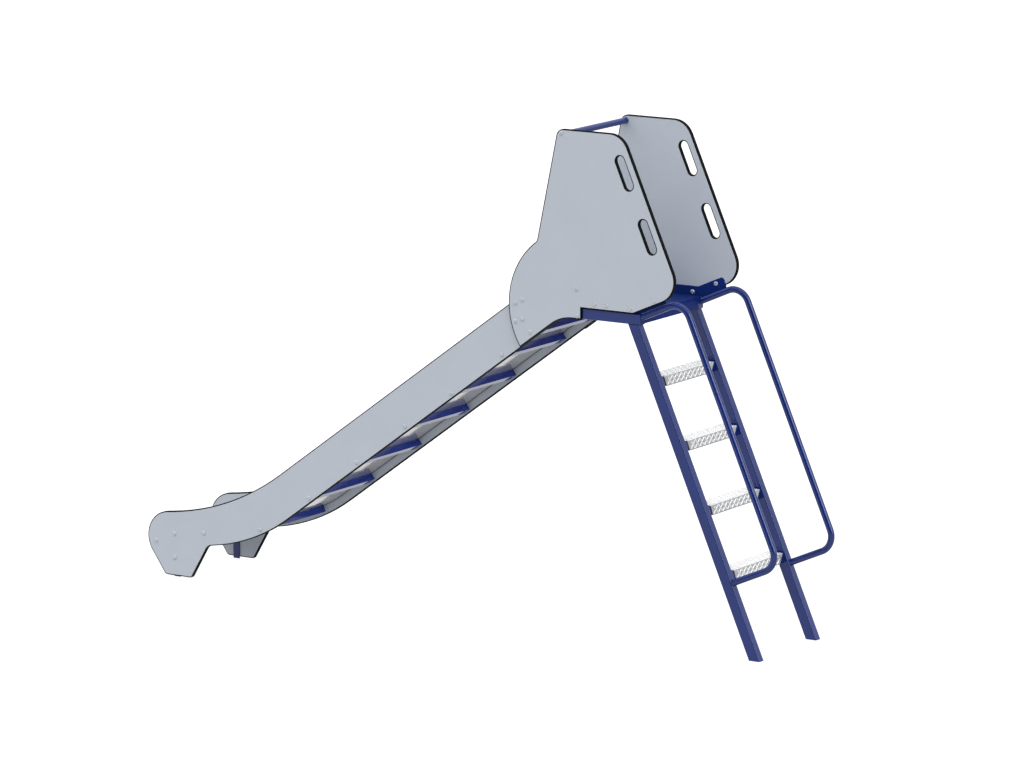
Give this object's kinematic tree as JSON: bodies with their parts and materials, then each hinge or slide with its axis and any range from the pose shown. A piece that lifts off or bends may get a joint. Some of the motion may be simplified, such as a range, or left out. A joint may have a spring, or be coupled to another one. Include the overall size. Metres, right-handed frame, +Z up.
{
  "type": "playground slide",
  "caption": "Straight playground slide with plastic side panels, steel chute bed, guarded platform, step ladder and looped hand rails.",
  "frame": {"origin": "on the floor, in the middle of the slide's bounding box", "axes": "+X from the chute's exit towards the ladder, +Z up, +Y across the slide"},
  "size_m": [3.403, 0.559, 2.286],
  "materials": {
    "panel_plastic": "fine grain, pale blue-grey skin over a black core",
    "stainless_sheet": "polished",
    "navy_coating": "smooth satin powder coat",
    "galvanised_sheet": "galvanised, raised non-slip pattern"
  },
  "bodies": {
    "root": {"guard_panel_left": "panel_plastic", "guard_panel_right": "panel_plastic", "chute_side_left": "panel_plastic", "chute_side_right": "panel_plastic", "chute_bed": "stainless_sheet", "chute_bar_1": "navy_coating", "chute_bar_2": "navy_coating", "chute_bar_3": "navy_coating", "chute_bar_4": "navy_coating", "chute_bar_5": "navy_coating", "chute_bar_6": "navy_coating", "chute_bar_7": "navy_coating", "chute_bar_8": "navy_coating", "chute_bar_9": "navy_coating", "exit_post_left": "navy_coating", "exit_post_right": "navy_coating", "platform_deck": "navy_coating", "platform_beam_left": "navy_coating", "platform_beam_right": "navy_coating", "platform_cross_beam_front": "navy_coating", "platform_cross_beam_rear": "navy_coating", "stringer_left": "navy_coating", "stringer_right": "navy_coating", "hand_rail_left": "navy_coating", "hand_rail_right": "navy_coating", "top_rail": "navy_coating", "step_1": "galvanised_sheet", "step_2": "galvanised_sheet", "step_3": "galvanised_sheet", "step_4": "galvanised_sheet", "step_bracket_1_left": "navy_coating", "step_bracket_1_right": "navy_coating", "step_bracket_2_left": "navy_coating", "step_bracket_2_right": "navy_coating", "step_bracket_3_left": "navy_coating", "step_bracket_3_right": "navy_coating", "step_bracket_4_left": "navy_coating", "step_bracket_4_right": "navy_coating"}
  },
  "joints": []
}
